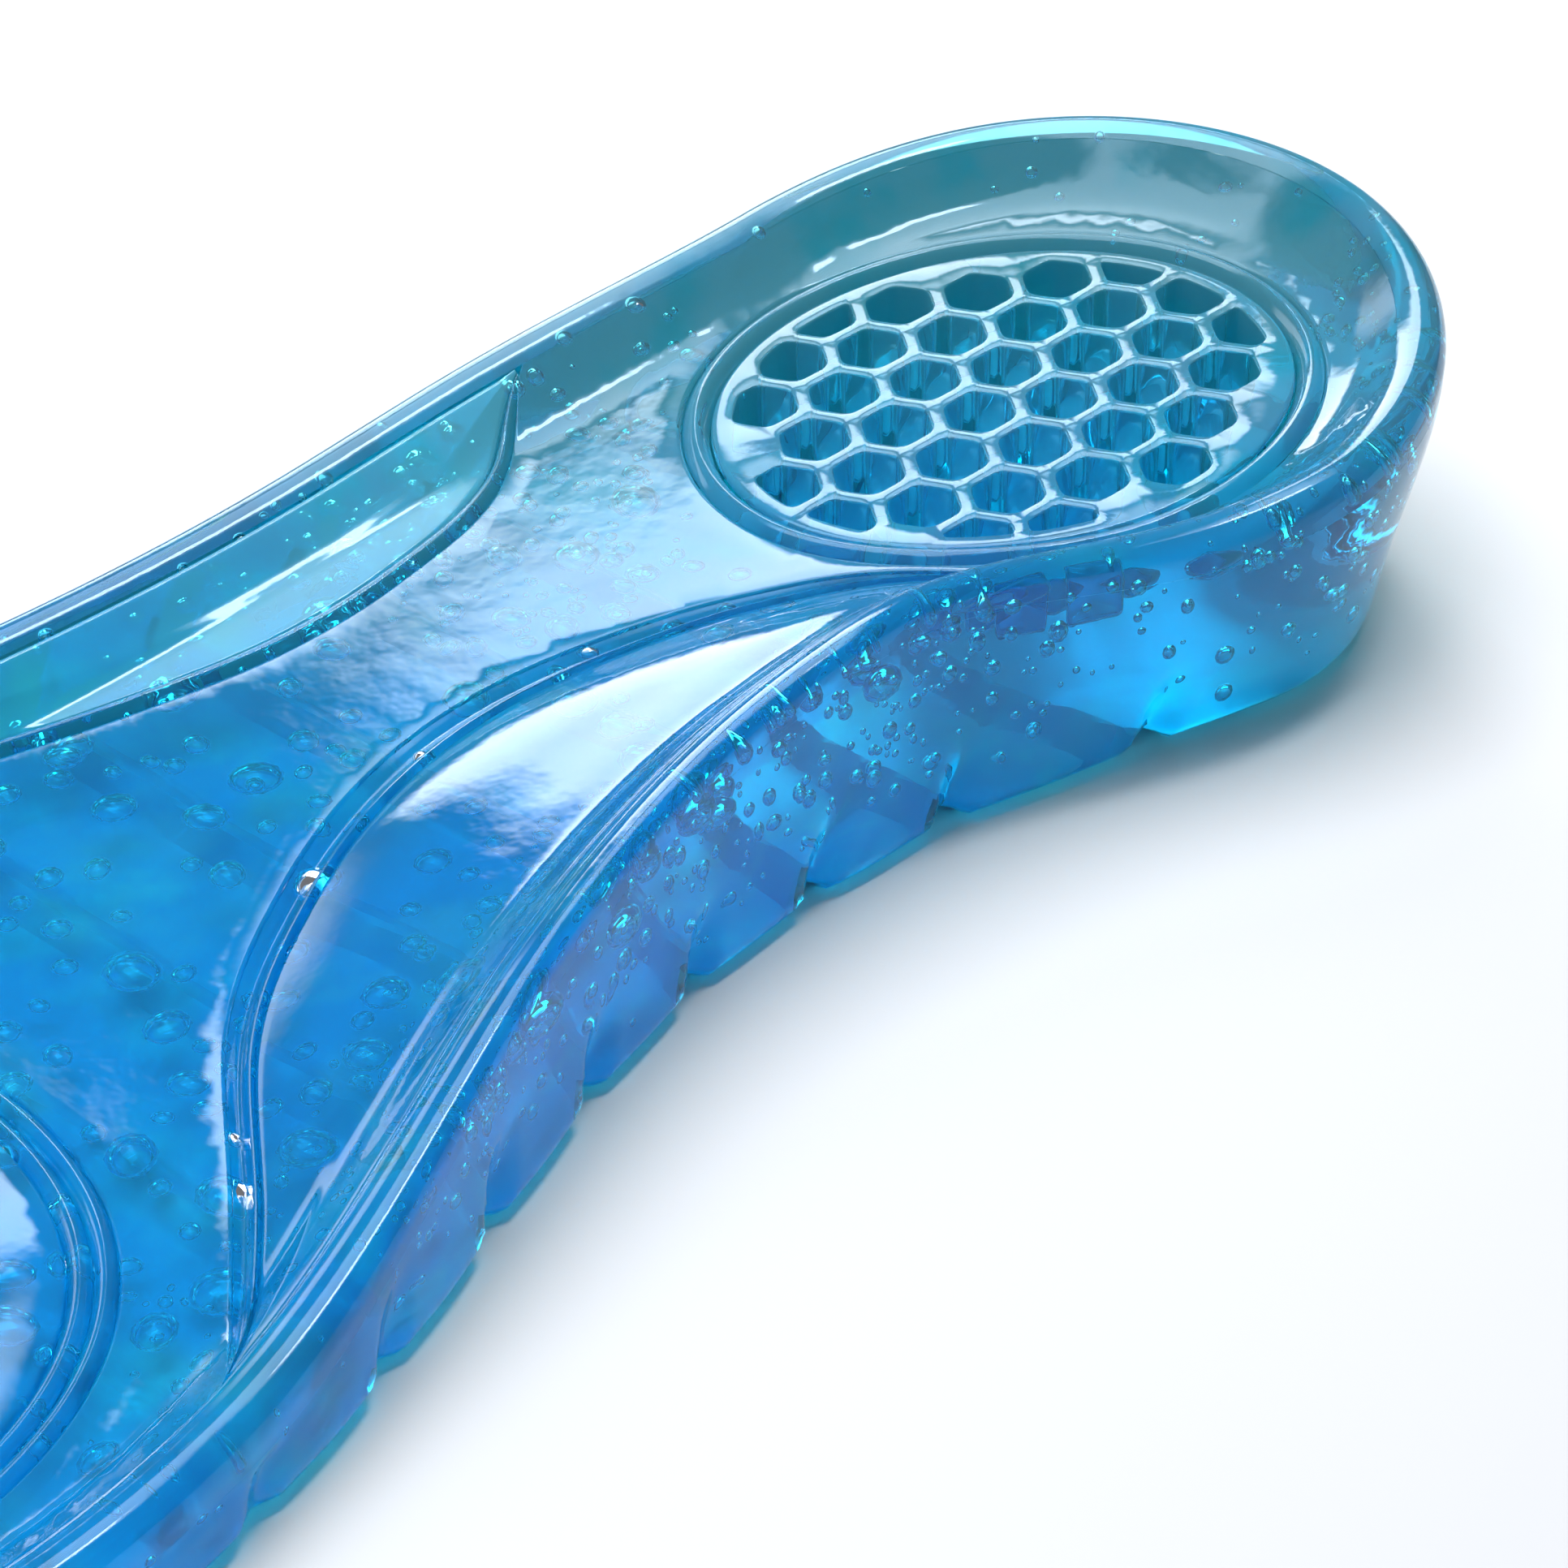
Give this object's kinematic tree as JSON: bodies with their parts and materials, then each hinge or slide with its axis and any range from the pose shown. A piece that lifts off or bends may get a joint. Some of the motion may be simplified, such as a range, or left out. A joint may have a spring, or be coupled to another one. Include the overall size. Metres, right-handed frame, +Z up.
{
  "type": "cushioned gel insole",
  "caption": "Full-length clear gel insole for a right shoe: ribbed base, raised rim, cellular heel pad in a ring, arch leaf pad, side wing pad and ringed forefoot pad.",
  "frame": {"origin": "centre of the overall box at its lowest face, where the underside ribs rest", "axes": "+Y toward the toe, +X toward the outer side of the right foot, +Z up"},
  "size_m": [0.0958, 0.275, 0.0272],
  "materials": {
    "clear_gel": "gloss, translucent",
    "deep_gel": "gloss, translucent",
    "aqua_gel": "gloss, translucent"
  },
  "bodies": {
    "root": {"gel_base": "clear_gel", "footbed_layer": "clear_gel", "edge_rim": "clear_gel", "heel_ring": "deep_gel", "heel_honeycomb_pad": "clear_gel", "heel_core": "deep_gel", "arch_pad": "deep_gel", "arch_band": "deep_gel", "wing_pad": "aqua_gel", "wing_ridge": "clear_gel", "forefoot_outer_ring": "clear_gel", "forefoot_inner_ring": "clear_gel", "forefoot_pad": "deep_gel"}
  },
  "joints": []
}
